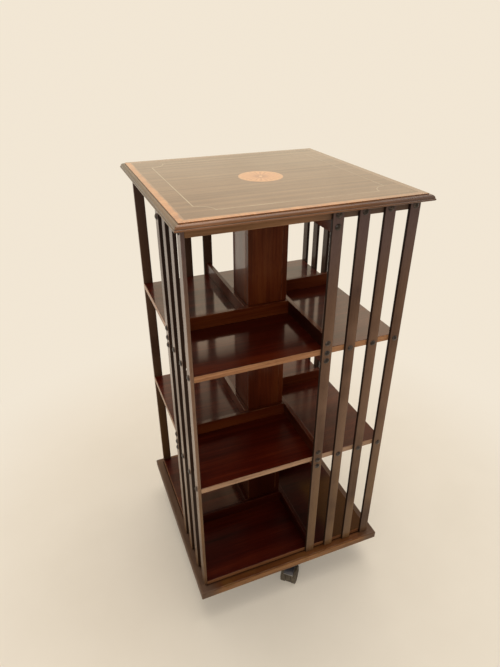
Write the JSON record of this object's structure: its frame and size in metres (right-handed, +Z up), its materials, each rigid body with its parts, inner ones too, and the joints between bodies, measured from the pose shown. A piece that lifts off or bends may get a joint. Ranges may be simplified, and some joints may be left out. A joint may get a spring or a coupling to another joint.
{
  "type": "revolving bookcase",
  "caption": "Floor-standing revolving bookcase: inlaid square top, slatted pinwheel tiers round a hollow column that turns on an iron post, cross stand on castors.",
  "frame": {"origin": "on the floor under the post's axis", "axes": "+Z up along the post; -Y is the front face, the face seen in the picture's middle"},
  "size_m": [0.48, 0.48, 1],
  "materials": {
    "mahogany": "french polished",
    "mahogany_slat": "worn polish",
    "satinwood": "french polished",
    "boxwood": "french polished",
    "ebonised": "semi-gloss",
    "iron": "blackened",
    "bronze": "dull",
    "castor_hood": "semi-gloss",
    "castor_wheel": "satin"
  },
  "bodies": {
    "stand": {"stand_arm_x": "mahogany", "stand_arm_y": "mahogany", "center_post": "iron", "post_flange": "iron", "flange_screws": "iron", "thrust_washer": "bronze", "castor_plate_front": "iron", "castor_plate_left": "iron", "castor_plate_back": "iron", "castor_plate_right": "iron", "castor_stems": "iron", "castor_screws": "iron"},
    "case": {"top_board": "mahogany", "top_crossbanding": "satinwood", "top_stringing": "boxwood", "top_patera": "satinwood", "frieze_front": "mahogany_slat", "frieze_left": "mahogany_slat", "frieze_back": "mahogany_slat", "frieze_right": "mahogany_slat", "column_board_front": "mahogany", "column_board_left": "mahogany", "column_board_back": "mahogany", "column_board_right": "mahogany", "upper_shelf": "mahogany", "lower_shelf": "mahogany", "bottom_shelf": "mahogany", "base_board": "mahogany", "top_rails": "mahogany", "upper_stop_rails": "mahogany", "upper_bearers": "mahogany", "lower_stop_rails": "mahogany", "lower_bearers": "mahogany", "bottom_stop_rails": "mahogany", "slats_front": "mahogany_slat", "slats_left": "mahogany_slat", "slats_back": "mahogany_slat", "slats_right": "mahogany_slat", "slat_buttons": "ebonised", "bearing_block": "mahogany", "bearing_plate": "iron", "bearing_screws": "iron", "guide_bush": "bronze"},
    "castor_front": {"castor_hood_front": "castor_hood", "castor_axle_front": "iron"},
    "wheel_front_near": {"castor_wheel_front_near": "castor_wheel"},
    "wheel_front_far": {"castor_wheel_front_far": "castor_wheel"},
    "castor_left": {"castor_hood_left": "castor_hood", "castor_axle_left": "iron"},
    "wheel_left_near": {"castor_wheel_left_near": "castor_wheel"},
    "wheel_left_far": {"castor_wheel_left_far": "castor_wheel"},
    "castor_back": {"castor_hood_back": "castor_hood", "castor_axle_back": "iron"},
    "wheel_back_near": {"castor_wheel_back_near": "castor_wheel"},
    "wheel_back_far": {"castor_wheel_back_far": "castor_wheel"},
    "castor_right": {"castor_hood_right": "castor_hood", "castor_axle_right": "iron"},
    "wheel_right_near": {"castor_wheel_right_near": "castor_wheel"},
    "wheel_right_far": {"castor_wheel_right_far": "castor_wheel"}
  },
  "joints": [
    {"name": "case_spin", "type": "hinge", "parent": "stand", "child": "case", "pos_m": [0, 0, 0.11], "axis": [0, 0, 1], "continuous": true},
    {"name": "castor_swivel_front", "type": "hinge", "parent": "stand", "child": "castor_front", "pos_m": [0.01395, -0.19951, 0.058], "axis": [0, 0, 1], "continuous": true},
    {"name": "wheel_roll_front_near", "type": "hinge", "parent": "castor_front", "child": "wheel_front_near", "pos_m": [0.00624, -0.20871, 0.023], "axis": [0.766, -0.6428, 0], "continuous": true},
    {"name": "wheel_roll_front_far", "type": "hinge", "parent": "castor_front", "child": "wheel_front_far", "pos_m": [0.00624, -0.20871, 0.023], "axis": [0.766, -0.6428, 0], "continuous": true},
    {"name": "castor_swivel_left", "type": "hinge", "parent": "stand", "child": "castor_left", "pos_m": [-0.19951, -0.01395, 0.058], "axis": [0, 0, 1], "continuous": true},
    {"name": "wheel_roll_left_near", "type": "hinge", "parent": "castor_left", "child": "wheel_left_near", "pos_m": [-0.18754, -0.01311, 0.023], "axis": [-0.0698, 0.9976, 0], "continuous": true},
    {"name": "wheel_roll_left_far", "type": "hinge", "parent": "castor_left", "child": "wheel_left_far", "pos_m": [-0.18754, -0.01311, 0.023], "axis": [-0.0698, 0.9976, 0], "continuous": true},
    {"name": "castor_swivel_back", "type": "hinge", "parent": "stand", "child": "castor_back", "pos_m": [-0.01395, 0.19951, 0.058], "axis": [0, 0, 1], "continuous": true},
    {"name": "wheel_roll_back_near", "type": "hinge", "parent": "castor_back", "child": "wheel_back_near", "pos_m": [-0.00724, 0.18956, 0.023], "axis": [0.829, 0.5592, 0], "continuous": true},
    {"name": "wheel_roll_back_far", "type": "hinge", "parent": "castor_back", "child": "wheel_back_far", "pos_m": [-0.00724, 0.18956, 0.023], "axis": [0.829, 0.5592, 0], "continuous": true},
    {"name": "castor_swivel_right", "type": "hinge", "parent": "stand", "child": "castor_right", "pos_m": [0.19951, 0.01395, 0.058], "axis": [0, 0, 1], "continuous": true},
    {"name": "wheel_roll_right_near", "type": "hinge", "parent": "castor_right", "child": "wheel_right_near", "pos_m": [0.18798, 0.01726, 0.023], "axis": [-0.2756, -0.9613, 0], "continuous": true},
    {"name": "wheel_roll_right_far", "type": "hinge", "parent": "castor_right", "child": "wheel_right_far", "pos_m": [0.18798, 0.01726, 0.023], "axis": [-0.2756, -0.9613, 0], "continuous": true}
  ]
}
